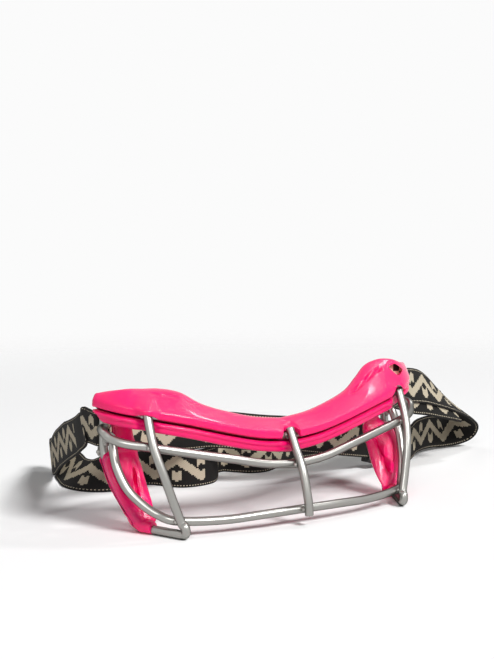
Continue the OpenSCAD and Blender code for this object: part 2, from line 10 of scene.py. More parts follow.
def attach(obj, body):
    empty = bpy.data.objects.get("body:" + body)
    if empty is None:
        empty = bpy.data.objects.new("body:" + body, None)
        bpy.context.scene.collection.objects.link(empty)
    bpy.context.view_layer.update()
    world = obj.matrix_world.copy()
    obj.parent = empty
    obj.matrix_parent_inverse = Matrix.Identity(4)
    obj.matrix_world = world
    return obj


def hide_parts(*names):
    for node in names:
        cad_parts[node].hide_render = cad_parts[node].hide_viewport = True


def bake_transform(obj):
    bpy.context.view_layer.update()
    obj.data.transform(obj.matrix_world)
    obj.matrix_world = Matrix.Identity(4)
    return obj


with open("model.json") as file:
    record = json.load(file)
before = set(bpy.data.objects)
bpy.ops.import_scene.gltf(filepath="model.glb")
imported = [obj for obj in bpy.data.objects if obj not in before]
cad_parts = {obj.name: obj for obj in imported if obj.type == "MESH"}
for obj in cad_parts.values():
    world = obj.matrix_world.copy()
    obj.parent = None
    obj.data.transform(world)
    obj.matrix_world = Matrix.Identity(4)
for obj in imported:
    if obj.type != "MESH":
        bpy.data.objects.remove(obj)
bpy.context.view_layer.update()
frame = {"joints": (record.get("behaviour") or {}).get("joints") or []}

# The guard's own zero lies on the ground, midway between its temple posts. Every place below is in
# millimetres from there, with the wearer's face towards +Y. The two strap hinges say where it is.
hinge = {joint["name"]: np.array(joint["pos_m"]) for joint in frame["joints"] if "pos_m" in joint}
hinge_mid = (hinge["strap_left_swing"] + hinge["strap_right_swing"]) / 2
strap_bar_y = -18.5
zero = np.array([hinge_mid[0], hinge_mid[1] - strap_bar_y / 1000, 0.0])


def metres(points):
    """Places in the guard's millimetres as places in the frame."""
    return np.asarray(points, float) / 1000 + zero


def placed(name, data):
    """A new object of the scene with this data."""
    item = bpy.data.objects.new(name, data)
    bpy.context.scene.collection.objects.link(item)
    return item


# The camera looks slightly down at the guard from its front left, at the photograph's angle. It
# stands about 657 mm from the guard's zero, which gives the photograph's perspective.
camera_place = [-321.2, -553.7, 149.1]
camera_turn = math.radians(-31.1)
camera_drop = math.radians(5.9)
camera_data = bpy.data.cameras.new("camera")
camera_data.lens = 70.72
camera_data.sensor_width = 36
camera = placed("camera", camera_data)
camera.location = metres(camera_place)
camera.rotation_euler = (math.pi / 2 - camera_drop, 0, camera_turn)
bpy.context.scene.camera = camera


# The studio is no part of the guard: a white surround, two soft suns, two lamps and a pale floor
# that keeps the shadow and fades out into the surround.
def node_of(tree, kind, **inputs):
    """A new shader node with these socket values."""
    made = tree.nodes.new(kind)
    for name, value in inputs.items():
        made.inputs[name.replace("_", " ")].default_value = value
    return made


def math_node(tree, operation, first, second=None):
    """A Math node on one or two values or sockets, and its output."""
    made = tree.nodes.new("ShaderNodeMath")
    made.operation = operation
    for k, value in enumerate([first, second]):
        if value is None:
            continue
        if isinstance(value, (int, float)):
            made.inputs[k].default_value = value
        else:
            tree.links.new(value, made.inputs[k])
    return made.outputs[0]


def lead_out(tree, share, first, second, output):
    """Two shaders, mixed by a share and led to the output."""
    both = tree.nodes.new("ShaderNodeMixShader")
    tree.links.new(share, both.inputs[0])
    tree.links.new(first.outputs[0], both.inputs[1])
    tree.links.new(second.outputs[0], both.inputs[2])
    tree.links.new(both.outputs[0], tree.nodes.new(output).inputs[0])


def build_world():
    """The surround is plain white to the camera and in reflections, and lights softly."""
    world = bpy.data.worlds.new("surround")
    bpy.context.scene.world = world
    world.use_nodes = True
    tree = world.node_tree
    tree.nodes.clear()
    path = tree.nodes.new("ShaderNodeLightPath")
    seen = math_node(tree, "MAXIMUM", path.outputs["Is Camera Ray"], path.outputs["Is Glossy Ray"])
    seen = math_node(tree, "MAXIMUM", seen, path.outputs["Is Transmission Ray"])
    soft = node_of(tree, "ShaderNodeBackground", Color=(0.95, 0.97, 1, 1), Strength=0.06)
    plain = node_of(tree, "ShaderNodeBackground", Color=(0.965, 0.965, 0.965, 1), Strength=1)
    lead_out(tree, seen, soft, plain, "ShaderNodeOutputWorld")


def soft_lamp(name, place, aim, size, power):
    """A square lamp at a place, turned to face another place, both in millimetres."""
    data = bpy.data.lights.new(name, "AREA")
    data.shape = "SQUARE"
    data.size = size
    data.energy = power
    item = placed(name, data)
    item.location = metres(place)
    item.rotation_euler = Vector(np.subtract(aim, place)).to_track_quat("-Z", "Y").to_euler()


def wide_sun(name, way, strength, spread):
    """A soft sun that shines from the side that the direction points to."""
    data = bpy.data.lights.new(name, "SUN")
    data.energy = strength
    data.angle = math.radians(spread)
    item = placed(name, data)
    item.rotation_euler = Vector(way).to_track_quat("Z", "Y").to_euler()


build_world()
wide_sun("sun_front", (0.3, -0.95, 0.95), 3.0, 18)
wide_sun("sun_back", (-0.4, 0.7, 1.4), 0.25, 30)
soft_lamp("lamp_front", [-500, -650, 520], [0, -30, 30], 0.24, 1.8)
soft_lamp("lamp_side", [400, -80, 650], [0, -30, 30], 0.08, 0.8)


def build_floor():
    """A pale disc under the guard that fades away all round."""
    full_at = 0.22
    gone_at = 0.8
    below = 0.0001
    corners = 96
    mesh = bpy.data.meshes.new("floor")
    angles = np.linspace(0, math.tau, corners + 1)[:-1]
    ring = [(gone_at * math.cos(a), gone_at * math.sin(a), -below) for a in angles]
    mesh.from_pydata(ring, [], [tuple(range(corners))])
    item = placed("floor", mesh)
    material = bpy.data.materials.new("floor")
    material.use_nodes = True
    tree = material.node_tree
    tree.nodes.clear()
    place = tree.nodes.new("ShaderNodeTexCoord")
    far = tree.nodes.new("ShaderNodeVectorMath")
    far.operation = "LENGTH"
    fade = node_of(tree, "ShaderNodeMapRange", From_Min=full_at, From_Max=gone_at, To_Min=1, To_Max=0)
    fade.interpolation_type = "SMOOTHSTEP"
    pale = node_of(tree, "ShaderNodeBsdfDiffuse", Color=(0.98, 0.98, 0.98, 1))
    clear = tree.nodes.new("ShaderNodeBsdfTransparent")
    tree.links.new(place.outputs["Object"], far.inputs[0])
    tree.links.new(far.outputs["Value"], fade.inputs[0])
    lead_out(tree, fade.outputs[0], clear, pale, "ShaderNodeOutputMaterial")
    mesh.materials.append(material)


build_floor()


# The rim wire is one round steel wire, 4 mm thick and bent cold. It arches over the brow, bends down
# into the two temple posts and sweeps in along the cheeks to the tips, where it is cut square.
wire_r = 2
touch = 4.1
half_span = 79
post_y = -27
post_low = 34
brow_reach = 30
brow_h = 38.3
brow_rise = 18.7
route_steps = 9
wire_sides = 20
cut_edge = 0.35


def unit(v):
    """A vector, or each row of an array, brought to length 1."""
    v = np.asarray(v, float)
    return v / np.linalg.norm(v, axis=-1, keepdims=True)


def mix(a, b, share):
    """What lies that share of the way from a to b."""
    return a + (b - a) * share


def smooth(points, steps):
    """A smooth curve through all points, or a skin through all rings."""
    p = np.asarray(points, float)
    out = []
    for i in range(len(p) - 1):
        a = p[max(i - 1, 0)]
        b = p[i]
        c = p[i + 1]
        d = p[min(i + 2, len(p) - 1)]
        for k in range(steps):
            f = k / steps
            bent = 2 * a - 5 * b + 4 * c - d + f * (3 * (b - c) + d - a)
            out.append(b + 0.5 * f * (c - a + f * bent))
    out.append(p[-1])
    return np.array(out)


def flip(points):
    """The same places on the guard's other side."""
    return np.asarray(points, float) * [-1, 1, 1]


def both_ways(right):
    """A whole route from its right half, which starts on the middle plane."""
    return np.vstack([flip(right)[:0:-1], right])


def headings(route):
    """The direction of a route at each of its points."""
    p = np.asarray(route, float)
    ahead = np.vstack([p[1:], p[-1:]])
    behind = np.vstack([p[:1], p[:-1]])
    return unit(ahead - behind)


def skin(many, around, start=0):
    """The faces of a closed skin over rings of points, which are numbered from the start on."""
    faces = []
    for i in range(many - 1):
        for j in range(around):
            a = start + i * around + j
            b = start + i * around + (j + 1) % around
            faces.append((a, b, b + around, a + around))
    faces.append(tuple(range(start, start + around))[::-1])
    faces.append(tuple(range(start + (many - 1) * around, start + many * around)))
    return faces


def shell(name, rings):
    """A closed skin through rings that all have the same number of points."""
    rings = np.asarray(rings, float)
    faces = skin(*rings.shape[:2])
    mesh = bpy.data.meshes.new(name)
    mesh.from_pydata(metres(rings.reshape(-1, 3)).tolist(), [], faces)
    working = bmesh.new()
    working.from_mesh(mesh)
    bmesh.ops.recalc_face_normals(working, faces=working.faces)
    working.to_mesh(mesh)
    working.free()
    mesh.polygons.foreach_set("use_smooth", [len(face) == 4 for face in faces])
    return placed(name, mesh)


def rod(name, route):
    """Round wire along a route, cut square with slightly rounded edges."""
    route = np.asarray(route, float)
    ahead = headings(route)
    side = np.array([0, 0, 1.0]) if abs(ahead[0][2]) < 0.9 else np.array([1.0, 0, 0])
    angles = np.linspace(0, math.tau, wire_sides, endpoint=False)
    ends = [(on * cut_edge, wire_r - off * cut_edge) for on, off in [(0, 1), (0.3, 0.3), (1, 0)]]
    rings = []
    for i in range(len(route)):
        side = unit(side - (side @ ahead[i]) * ahead[i])
        other = np.cross(ahead[i], side)
        circle = np.outer(np.cos(angles), side) + np.outer(np.sin(angles), other)
        if i == 0:
            rings += [route[i] + on * ahead[i] + r * circle for on, r in ends]
        elif i == len(route) - 1:
            rings += [route[i] - on * ahead[i] + r * circle for on, r in ends[::-1]]
        else:
            rings.append(route[i] + wire_r * circle)
    return shell(name, rings)


def plain_material(name, colour, roughness, metal=0.0):
    """A material with one colour all over, and its shader."""
    material = bpy.data.materials.new(name)
    material.use_nodes = True
    shader = material.node_tree.nodes["Principled BSDF"]
    shader.inputs["Base Color"].default_value = (*colour, 1)
    shader.inputs["Roughness"].default_value = roughness
    shader.inputs["Metallic"].default_value = metal
    return material, shader


def add_relief(material, shader, pattern, distance, strength):
    """Fine relief on a shader from a pattern's value."""
    tree = material.node_tree
    relief = node_of(tree, "ShaderNodeBump", Distance=distance, Strength=strength)
    tree.links.new(pattern, relief.inputs["Height"])
    tree.links.new(relief.outputs[0], shader.inputs["Normal"])


def grain(material, shader, scale, detail, distance, strength):
    """Fine uneven relief all over a material."""
    pattern = node_of(material.node_tree, "ShaderNodeTexNoise", Scale=scale, Detail=detail)
    add_relief(material, shader, pattern.outputs[0], distance, strength)


steel, steel_shader = plain_material("steel", (0.34, 0.335, 0.315), 0.3, 1.0)
steel_shader.inputs["Specular Tint"].default_value = (0.12, 0.12, 0.12, 1)
grain(steel, steel_shader, 900, 3, 0.00003, 0.3)


def cage_wire(name, node, route):
    """One finished wire of the cage, in place of one of the solids."""
    item = rod(name, route)
    item.data.materials.append(steel)
    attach(item, "root")
    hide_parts(node)


# From the nose to the temple: shares across the half span, back from the front, and up the rise.
brow_shape = [
    (0, 0, 0),
    (0.19, 0.01, 0.09),
    (0.38, 0.05, 0.27),
    (0.63, 0.15, 0.55),
    (0.87, 0.32, 0.78),
    (0.99, 0.53, 0.9),
    (1.06, 0.8, 1),
]
brow_half = np.array([
    (half_span * across, post_y - brow_reach * (1 - back), brow_h + brow_rise * up)
    for across, back, up in brow_shape
])
brow_end = brow_half[-1]
post_top = brow_end[2] - 3
bend = 3.6
post_half = [
    (half_span + bend + 0.3, post_y - bend + 2, brow_end[2] + 0.8),
    (half_span + bend - 2, post_y - 0.8, brow_end[2] + 0.9),
    (half_span + 1, post_y, brow_end[2] - 0.9),
    (half_span, post_y, post_top - 1),
    (half_span, post_y, (post_top + post_low) / 2),
    (half_span, post_y, post_low + 1),
]
cheek_shape = [(0.05, 0.15, 0.82), (0.15, 0.39, 0.57), (0.4, 0.63, 0.33), (0.75, 0.85, 0.12), (1, 1, 0)]
cheek_tuck = 10
cheek_reach = 20.5
cheek_half = np.array([
    (half_span - cheek_tuck * tuck, post_y - cheek_reach * reach, mix(wire_r, post_low, up))
    for tuck, reach, up in cheek_shape
])
cheek_tip = cheek_half[-1]
rim_right = smooth(np.vstack([brow_half, post_half, cheek_half]), route_steps)
cage_wire("rim_rod", "rim_wire", both_ways(rim_right))


def at_x(route, x):
    """Where a route first reaches that far to the right."""
    i = int(np.argmax(route[1:, 0] >= x))
    return mix(route[i], route[i + 1], (x - route[i][0]) / (route[i + 1][0] - route[i][0]))


def at_h(route, z):
    """Where a route first comes down to that height."""
    i = int(np.argmax(route[1:, 2] <= z))
    return mix(route[i], route[i + 1], (z - route[i][2]) / (route[i + 1][2] - route[i][2]))


# The side bars stand in front of the brow wire, to which they are welded. Each comes down to a tight
# corner on the ground and runs back along it to the cheek tip.
side_x = half_span * 0.87
side_reach = 41.5
side_weld = at_x(rim_right, side_x) + [0.5, -touch * 1.06, 0]
side_shape = [(0.874, 0.73, 0.755), (0.843, 0.84, 0.53), (0.801, 0.906, 0.3), (0.766, 0.955, 0.135)]
corner = np.array([half_span * 0.752, post_y - side_reach, wire_r + 0.05])
tip_ahead = unit(corner - cheek_tip)
side_half = [side_weld + [-0.3, 0.2, 1.4], side_weld]
side_half += [(half_span * x, post_y - side_reach * y, side_weld[2] * z) for x, y, z in side_shape]
side_half += [
    corner + [0.4, 0.1, 3.6],
    corner + [0.1, -0.2, 1.2],
    corner + [0.6, 1.8, 0],
    mix(corner, cheek_tip, 0.35),
    cheek_tip + tip_ahead * 2.5,
]
side_route = smooth(side_half, route_steps)
for name, route in [("left", flip(side_route)), ("right", side_route)]:
    cage_wire("side_rod_" + name, "side_bar_" + name, route)

# The centre bar is a short wire at the nose, welded in front of the brow wire. It leans forward and
# ends just above the ground.
centre_reach = 48.9
centre_end_h = 4.8
centre_weld = np.array([0, post_y - brow_reach, brow_h]) + touch * np.array([0, -0.83, 0.56])
centre_shape = [(0.32, 0.785), (0.61, 0.595), (0.79, 0.41), (0.95, 0.18), (1, 0)]
centre_half = [centre_weld + [0, 1.1, 1.9]]
centre_half += [
    (0, mix(centre_weld[1], post_y - centre_reach, out), mix(centre_end_h, centre_weld[2], up))
    for out, up in centre_shape
]
centre_route = smooth(centre_half, route_steps)
cage_wire("centre_rod", "centre_bar", centre_route)

# The upper bar crosses behind the upright bars at eye level. It sweeps up at both ends and turns in
# through a round bend onto the posts.
upper_h = 26.9
upper_end_h = mix(post_low, post_top, 0.575)
upper_side = at_h(side_route[2 * route_steps :], 39.3) + [0, touch * 1.03, 0]
upper_front = at_h(centre_route, upper_h)
upper_mid = upper_front + [0, touch * 1.13, 0]
upper_half = [
    upper_mid,
    mix(upper_mid, upper_side, 0.2) + [1, -1.5, -1.2],
    mix(upper_mid, upper_side, 0.43) + [0.5, -2.4, -0.8],
    mix(upper_mid, upper_side, 0.72) + [0.4, -1.4, -0.4],
    upper_side,
    (half_span - 0.5, post_y - 21, upper_side[2] + 1.8),
    (half_span + 4, post_y - 16, upper_side[2] + 3.6),
    (half_span + 5.6, post_y - 12.5, upper_end_h - 0.5),
    (half_span + 4.2, post_y - 6.5, upper_end_h + 0.2),
    (half_span + 0.8, post_y - wire_r - 0.3, upper_end_h),
]
cage_wire("upper_rod", "upper_bar", both_ways(smooth(upper_half, route_steps)))

# The lower bar runs low across the front behind the upright bars, sweeps up along the cheeks and
# hooks over onto the posts.
lower_end_h = mix(post_low, post_top, 0.275)
lower_front = at_h(centre_route, 7.3)
lower_mid = lower_front + [0, touch, 0]
lower_side = at_h(side_route[2 * route_steps :], 7.4) + [0, touch, 0]
lower_half = [
    lower_mid,
    mix(lower_mid, lower_side, 0.33) + [0, -2.2, -0.3],
    mix(lower_mid, lower_side, 0.67) + [0, -2.2, -1],
    lower_side,
    (half_span * 0.85, post_y - 29.5, lower_side[2] + 2.4),
    (half_span * 0.91, post_y - 24, lower_side[2] + 6.5),
    (half_span * 0.965, post_y - 18.2, 20),
    (half_span * 0.995, post_y - 13.5, 28),
    (half_span - 0.2, post_y - 9.8, 35.5),
    (half_span - 0.9, post_y - 7.6, 40.4),
    (half_span - 0.6, post_y - 5, 41.8),
    (half_span, post_y - wire_r - 1.3, lower_end_h),
]
cage_wire("lower_rod", "lower_bar", both_ways(smooth(lower_half, route_steps)))

# The strap bars are U-shaped bends of the same wire, welded behind the posts. The strap turns round
# the upright part of each.
strap_low = 35.4
strap_w = 19
strap_bar_x = half_span - 3
strap_bar_top = strap_low + strap_w + wire_r + 0.4
strap_bar_foot = post_low - 1
strap_bar_clear = 0.9
strap_bar_half = [
    (half_span + 1.2, post_y + wire_r + strap_bar_clear, strap_bar_top),
    (strap_bar_x + 1.8, strap_bar_y - 3, strap_bar_top),
    (strap_bar_x + 0.4, strap_bar_y - 0.8, strap_bar_top - 0.7),
    (strap_bar_x, strap_bar_y, strap_bar_top - 3),
    (strap_bar_x, strap_bar_y, strap_bar_foot + 2.8),
    (strap_bar_x + 0.4, strap_bar_y - 0.8, strap_bar_foot + 0.6),
    (strap_bar_x + 1.4, strap_bar_y - 3, strap_bar_foot),
    (half_span, post_y + wire_r + strap_bar_clear, strap_bar_foot),
]
strap_bar_route = smooth(strap_bar_half, route_steps)
for name, route in [("left", flip(strap_bar_route)), ("right", strap_bar_route)]:
    cage_wire("strap_rod_" + name, "strap_bar_" + name, route)

# The welds are lumps of metal that was squeezed out where two wires were pressed together and fused.
# Each has a flat body between the wires and a bead at either side.
weld_metal, weld_shader = plain_material("weld_metal", (0.34, 0.33, 0.31), 0.34, 1.0)
weld_shader.inputs["Specular Tint"].default_value = (0.15, 0.15, 0.15, 1)
grain(weld_metal, weld_shader, 1500, 4, 0.00012, 0.7)
weld_body = np.array([1.5, 1.2, 1.5])
weld_bead = np.array([1.15, 1.2, 1.15])
weld_stretch = 0.65
bead_off = 0.78 * wire_r


def weld_lump(working, place, radii):
    """One uneven lump of fused metal."""
    ball = bmesh.ops.create_icosphere(working, subdivisions=4, radius=1)
    for vertex in ball["verts"]:
        point = np.array(vertex.co)
        rough = noise.noise(Vector(point * 1.7 + np.asarray(place) * 0.31))
        fine = noise.noise(Vector(point * 4.1 + np.asarray(place) * 0.17))
        point = point * (1 + 0.14 * rough + 0.05 * fine)
        vertex.co = metres(np.asarray(place) + point * radii)


def weld_piece(name, node, right, middle=()):
    """The welds of one kind: those at the right are repeated at the left."""
    working = bmesh.new()
    places = list(middle)
    for place, along in right:
        places.append((np.asarray(place, float), along))
        places.append((flip(place), along))
    for place, along in places:
        along = np.array(along, float)
        weld_lump(working, place, weld_body + along * weld_stretch)
        for way in (-1, 1):
            weld_lump(working, place + way * bead_off * along, weld_bead)
    mesh = bpy.data.meshes.new(name)
    working.to_mesh(mesh)
    working.free()
    mesh.polygons.foreach_set("use_smooth", [True] * len(mesh.polygons))
    mesh.materials.append(weld_metal)
    item = placed(name, mesh)
    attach(item, "root")
    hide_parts(node)


level = (1, 0, 0)
upright = (0, 0, 1)
brow_contact = mix(np.array([0, post_y - brow_reach, brow_h]), centre_weld, 0.5)
half_touch = np.array([0, touch / 2, 0])
centre_pair = [(mix(upper_mid, upper_front, 0.5), level), (lower_mid - half_touch, level)]
post_pair = [
    ((half_span + 0.6, post_y - wire_r, upper_end_h), upright),
    ((half_span, post_y - wire_r, lower_end_h), upright),
]
strap_bar_pair = [
    ((half_span + 1, post_y + wire_r + 0.2, strap_bar_top), level),
    ((half_span, post_y + wire_r + 0.2, strap_bar_foot + 0.7), level),
]
weld_piece("rim_fusing", "welds_rim", [(side_weld + half_touch, level)], [(brow_contact, level)])
weld_piece("side_upper_fusing", "welds_side_upper", [(upper_side - half_touch, level)])
weld_piece("side_lower_fusing", "welds_side_lower", [(lower_side - half_touch, level)])
weld_piece("centre_fusing", "welds_centre", [], centre_pair)
weld_piece("post_fusing", "welds_post", post_pair)
weld_piece("tip_fusing", "welds_tip", [(cheek_tip + tip_ahead * 1.3, level)])
weld_piece("strap_bar_fusing", "welds_strap_bar", strap_bar_pair)

# The brow pad is one moulding of soft glossy silicone, slit along its front and pushed onto the brow
# wire. Its upper lip slopes back to a crest that swells over the temples, and its lower lip hangs
# under the wire. Notches let the side bars past, and the slit opens into an arch for the centre bar.
grip = wire_r + 0.3
pad_rise = 8
pad_front = 4.5
lip_drop = 7
slit_w = 1.6
slit_top = -0.7
arch_h = 8
# At these shares of the half span: how far the crest rises above the plain lip at the left (-1) and
# at the right (1), and how far it lies behind the wire.
crest_at = [0, 0.25, 0.5, 0.64, 0.76, 0.88, 0.96, 1.02, 1.06]
crest_up = {
    -1: [0, 0.2, 1.2, 4.3, 4.1, 2.4, 1.5, -0.5, -3.2],
    1: [0, 0.2, 1.2, 4.1, 7.2, 7.2, 5.5, 1.9, -0.4],
}
crest_back = [6.2, 6.8, 7.6, 9.5, 11, 9.5, 5, 1.5, -1]
arch_half = 5
notch_half = 5.4
notch_lift = {-1: 1.2, 1: 3.7}
notch_out = {-1: 2.8, 1: -0.3}
notch_x = side_x - 1
guide = smooth(brow_half, 12)
guide_end = brow_half[-1][0] - 0.2
pad_points = 170
pad_step = 0.6
end_round = 1.6
end_past = 1.8
# Each dimple's middle and half length, measured across the guard
dimples = [(46, 5.6), (56, 4.4), (63.5, 2.6)]
dimple_up = 0.66
dimple_half = 0.085
dimple_deep = {-1: 0.3, 1: 1.8}
lower_lip_end = {-1: (81.5, 84), 1: (68.5, 71.5)}
lower_lip_rise = 4.1


def ramp(value, low, high):
    """0 below low, 1 above high and smooth in between."""
    share = min(max((value - low) / (high - low), 0), 1)
    return share * share * (3 - 2 * share)


def swell(share):
    """1 in the middle, falling to 0 at both sides."""
    return 1 - abs(share) ** 3 if abs(share) < 1 else 0


def soften(ring):
    """A closed ring with its corners cut round twice."""
    for _ in range(2):
        ahead = np.roll(ring, -1, axis=0)
        pair = np.stack([mix(ring, ahead, 0.25), mix(ring, ahead, 0.75)], axis=1)
        ring = pair.reshape(-1, ring.shape[1])
    return ring


def even(ring, count):
    """A closed ring with that many evenly spaced points."""
    closed = np.vstack([ring, ring[:1]])
    steps = np.linalg.norm(np.diff(closed, axis=0), axis=1)
    run = np.concatenate([[0], np.cumsum(steps)])
    at = np.linspace(0, run[-1], count, endpoint=False)
    return np.stack([np.interp(at, run, closed[:, k]) for k in range(closed.shape[1])], axis=1)


def fair(values):
    """A smooth line through the crest's values, as a function of the share of the half span."""
    line = smooth(np.column_stack([crest_at, values]), 12)
    return lambda share: float(np.interp(share, line[:, 0], line[:, 1]))


crest_back_of = fair(crest_back)
crest_up_of = {side: fair(values) for side, values in crest_up.items()}


def brow_section(x, side):
    """The pad's section across the brow wire: how far in front of the wire, and how far above it."""
    share = x / half_span
    arch = swell(x / arch_half)
    notch = max(1 - ((x - notch_x) / notch_half) ** 2, 0) ** 2
    crest = np.array([-crest_back_of(share), pad_rise + crest_up_of[side](share)])
    foot = np.array([pad_front - 0.2, 3.2])
    up = unit(crest - foot)
    lift = arch_h * arch + notch_lift[side] * notch
    out = notch_out[side] * notch
    straight = foot[1] - slit_top
    rear = min(crest[0] - 1.4, -pad_front)
    lip = pad_front - 0.3 - 2.7 * notch - 0.4 * arch
    ridge = 0.7 * (1 - notch)
    points = []
    # From the slit's top up the front and over the slope to the crest
    for u in (lift, lift + 2.2 - 1.4 * arch, max(straight, lift + 3.2 - 1.8 * arch)):
        at = (pad_front - 0.1, slit_top + u) if u < straight else foot + (u - straight) * up
        points.append((at[0] + out, at[1]))
    points += [mix(foot, crest, 0.62) + [0.5, 0.9], mix(foot, crest, 0.85) + [0.4, 0.8], crest]
    # Down the back, under the wire and up the lower lip to the slit
    points += [(crest[0] - 1, crest[1] - 0.8), (rear, crest[1] - 3), (rear, -1.5), (-3.5, -lip_drop)]
    points += [(lip - ridge - 1.2, -lip_drop), (lip - ridge, 0.7 - lip_drop), (lip - ridge, -4.3)]
    points += [(lip, -3.8), (lip, slit_top - slit_w)]
    # Round the channel that grips the wire
    for a in np.radians(np.linspace(-50, -372 + 88 * arch + 58 * notch, 15)):
        points.append((grip * math.cos(a), grip * math.sin(a)))
    ring = even(soften(np.array([tuple(point) for point in points])), pad_points)
    return ring, foot, up, np.linalg.norm(crest - foot)


def brow_ring(x, side):
    """The pad's section at one place along the wire, with its dimples and its rounded end."""
    ring, foot, up, slope = brow_section(min(x, guide_end), side)
    outward = np.array([up[1], -up[0]])
    for middle_x, reach in dimples:
        near = 1 - ((x - middle_x) / reach) ** 2
        if near > 0:
            along = (ring - foot) @ up / slope
            above = (ring - foot) @ outward
            close = np.clip(1 - ((along - dimple_up) / dimple_half) ** 2, 0, 1)
            deep = dimple_deep[side] * near * close**1.2
            ring = ring - np.outer(np.where(above > -1.2, deep, 0), outward)
    share = min(max((x - guide_end - end_past + end_round) / end_round, 0), 1)
    if share > 0:
        keep = math.sqrt(1 - share * share)
        far = np.linalg.norm(ring, axis=1)
        slim = np.where(far > grip * 1.02, mix(grip + 0.7, far, 0.25 + 0.75 * keep) / far, 1)
        ring = ring * slim[:, None]
    lowest = -lip_drop + lower_lip_rise * ramp(x, *lower_lip_end[side])
    ring = np.column_stack([ring[:, 0], np.maximum(ring[:, 1], lowest)])
    on_wire = min(x, guide_end)
    place = np.array([on_wire, *(np.interp(on_wire, guide[:, 0], guide[:, k]) for k in (1, 2))])
    before = max(on_wire - 1, 0)
    after = min(on_wire + 1, brow_half[-1][0])
    ahead_y = np.interp(after, guide[:, 0], guide[:, 1]) - np.interp(before, guide[:, 0], guide[:, 1])
    ahead_x = after - before
    front = unit([ahead_y, -ahead_x, 0]) if x >= 1 else np.array([0, -1, 0])
    past = (x - on_wire) * np.array([-front[1], front[0], 0])
    made = place + past + ring[:, :1] * front + ring[:, 1:] * np.array([0, 0, 1])
    return made * [side, 1, 1]


def combine(item, operation, others):
    """Cuts the other objects out of one, or joins them to it, once it is baked."""
    for other in others:
        change = item.modifiers.new("combine", "BOOLEAN")
        change.operation = operation
        change.solver = "EXACT"
        change.object = other


def bake(item, material, spent):
    """Turns an object's modifiers into its mesh, all of one material, and drops what they used."""
    bpy.context.view_layer.update()
    graph = bpy.context.evaluated_depsgraph_get()
    made = bpy.data.meshes.new_from_object(item.evaluated_get(graph))
    item.modifiers.clear()
    item.data = made
    for other in spent:
        bpy.data.objects.remove(other)
    item.data.materials.clear()
    item.data.materials.append(material)


def sharpen(item, degrees):
    """Edges steeper than the angle stay crisp."""
    item.data.set_sharp_from_angle(angle=math.radians(degrees))


silicone, silicone_shader = plain_material("silicone", (0.93, 0.002, 0.15), 0.17)
silicone_shader.inputs["Subsurface Weight"].default_value = 0.22
silicone_shader.inputs["Subsurface Radius"].default_value = (1, 0.25, 0.35)
silicone_shader.inputs["Subsurface Scale"].default_value = 0.0022
silicone_shader.inputs["Specular IOR Level"].default_value = 0.3
silicone_shader.inputs["Coat Weight"].default_value = 0.25
silicone_shader.inputs["Coat Roughness"].default_value = 0.07
grain(silicone, silicone_shader, 110, 2, 0.0004, 0.35)

brow_x = np.append(np.arange(0, guide_end + end_past - 0.1, pad_step), guide_end + end_past)
brow_rings = [brow_ring(x, -1) for x in brow_x[:0:-1]] + [brow_ring(x, 1) for x in brow_x]
brow = shell("brow_cushion", brow_rings)
# The window is a blind pocket at the right temple, sunk roughly along the camera's view.
window = np.array([(70.6, 0, 64.4), (75.4, 0, 65.6), (80.4, 0, 62.2), (77, 0, 59.2)])
window_y = -39.5
window_front = 16
window_back = 1.1
view_way = np.array([0.516, 0.856, -0.06])
window = np.stack([mix(window, np.roll(window, way, axis=0), 0.13) for way in (1, -1)], axis=1)
window = even(soften(window.reshape(-1, 3)), 32) + [0, window_y, 0]
window_cutter = shell("window_cutter", [window - window_front * view_way, window + window_back * view_way])
combine(brow, "DIFFERENCE", [window_cutter])
bake(brow, silicone, [window_cutter])
sharpen(brow, 50)
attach(brow, "root")
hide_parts("brow_pad")

# The window tab is a small piece of webbing, checked in black and beige. It lies in the bottom of
# the right temple's window and is held by the silicone round it.
tab_front = 0.9
tab_back = 1.3
tab_material, tab_shader = plain_material("tab_weave", (0.02, 0.018, 0.016), 0.8)
tab_shader.inputs["Specular IOR Level"].default_value = 0.15
tab_check = node_of(tab_material.node_tree, "ShaderNodeTexChecker", Scale=260.0)
tab_check.inputs["Color1"].default_value = (0.01, 0.009, 0.008, 1)
tab_check.inputs["Color2"].default_value = (0.66, 0.58, 0.44, 1)
tab_links = tab_material.node_tree.links
tab_links.new(tab_check.outputs["Color"], tab_shader.inputs["Base Color"])
tab_rib = node_of(tab_material.node_tree, "ShaderNodeTexChecker", Scale=1400.0)
tab_place = tab_material.node_tree.nodes.new("ShaderNodeTexCoord")
tab_links.new(tab_place.outputs["Object"], tab_check.inputs["Vector"])
tab_links.new(tab_place.outputs["Object"], tab_rib.inputs["Vector"])
add_relief(tab_material, tab_shader, tab_rib.outputs["Fac"], 0.0001, 0.6)
tab = shell("window_tab", [window - tab_front * view_way, window + tab_back * view_way])
tab.data.materials.append(tab_material)
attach(tab, "root")

# The cheek pads are silicone wings, moulded to grip the rim wire below the posts. Each narrows down
# to a small flat foot behind the tip, ends in a sleeve on the tip and has two slits in its front.
cheek_t = 8.4
foot_in = 12.5
foot_d = 3
cheek_points = 120
slit_lean = 0.25
slit_reach = (-9, -1)
lip_rise = 0.00055
